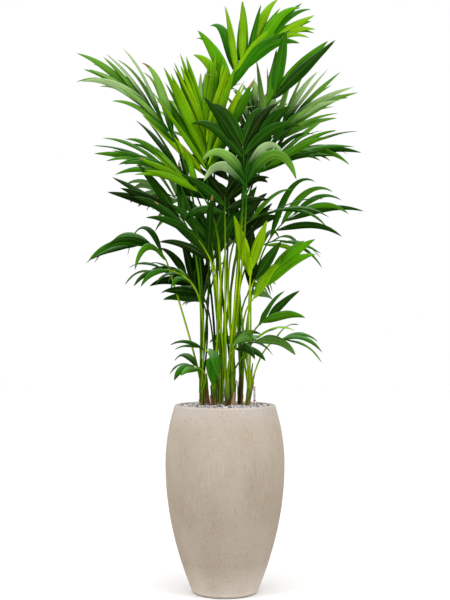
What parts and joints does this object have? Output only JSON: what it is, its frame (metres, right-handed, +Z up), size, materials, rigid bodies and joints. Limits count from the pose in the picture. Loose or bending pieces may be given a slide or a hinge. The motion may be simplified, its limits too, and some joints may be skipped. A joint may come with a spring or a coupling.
{
  "type": "kentia palm in planter",
  "caption": "Clump of tall arching feather-leaved palm fronds in a tall round matte beige planter, with pebbles over the potting mix and a small water gauge.",
  "frame": {"origin": "centre of the planter's flat underside", "axes": "+Z up; seen from the front +X points right and +Y points to the back"},
  "size_m": [1.0545, 0.7068, 2.2046],
  "materials": {
    "planter_shell": "matte beige fibre cement with fine upright streaks",
    "potting_mix": "loose dark earth",
    "gravel": "small white, grey and brown pebbles",
    "gauge_plastic": "white tube with coloured level marks",
    "stem": "green stem base with brown papery sheaths",
    "leaf_lime": "bright young leaf, half gloss",
    "leaf_mid": "green leaf, half gloss",
    "leaf_pale": "pale waxy green leaf, half gloss",
    "leaf_deep": "deep green leaf, half gloss",
    "leaf_dark": "dark green leaf, half gloss"
  },
  "bodies": {
    "root": {"frond_back_left": "leaf_deep", "frond_back_low_left": "leaf_deep", "frond_back_low_right": "leaf_deep", "frond_back_lowest": "leaf_deep", "frond_back_middle": "leaf_dark", "frond_back_right": "leaf_pale", "frond_back_top": "leaf_pale", "frond_dark_blades": "leaf_dark", "frond_front_hanging": "leaf_deep", "frond_front_left": "leaf_dark", "frond_front_low": "leaf_dark", "frond_front_right": "leaf_dark", "frond_front_star": "leaf_dark", "frond_heart_front": "leaf_dark", "frond_heart_left": "leaf_dark", "frond_heart_right": "leaf_dark", "frond_heart_top": "leaf_dark", "frond_left_arch": "leaf_deep", "frond_left_high": "leaf_deep", "frond_left_lime": "leaf_lime", "frond_left_low": "leaf_dark", "frond_left_low_arch": "leaf_deep", "frond_left_lowest": "leaf_deep", "frond_left_mid": "leaf_dark", "frond_left_sweep": "leaf_pale", "frond_left_tendril": "leaf_deep", "frond_lime_fan": "leaf_lime", "frond_plume": "leaf_mid", "frond_right_arch": "leaf_deep", "frond_right_blades": "leaf_deep", "frond_right_diagonal": "leaf_mid", "frond_right_hanging": "leaf_mid", "frond_right_high": "leaf_pale", "frond_right_low": "leaf_deep", "frond_right_lowest": "leaf_deep", "frond_right_mid": "leaf_deep", "frond_right_mid_front": "leaf_deep", "frond_right_thin": "leaf_mid", "frond_star_arch": "leaf_pale", "frond_young_pair": "leaf_lime", "gravel_layer": "gravel", "planter": "planter_shell", "potting_mix": "potting_mix", "stem_1": "stem", "stem_10": "stem", "stem_2": "stem", "stem_3": "stem", "stem_4": "stem", "stem_5": "stem", "stem_6": "stem", "stem_7": "stem", "stem_8": "stem", "stem_9": "stem", "water_gauge": "gauge_plastic"}
  },
  "joints": []
}
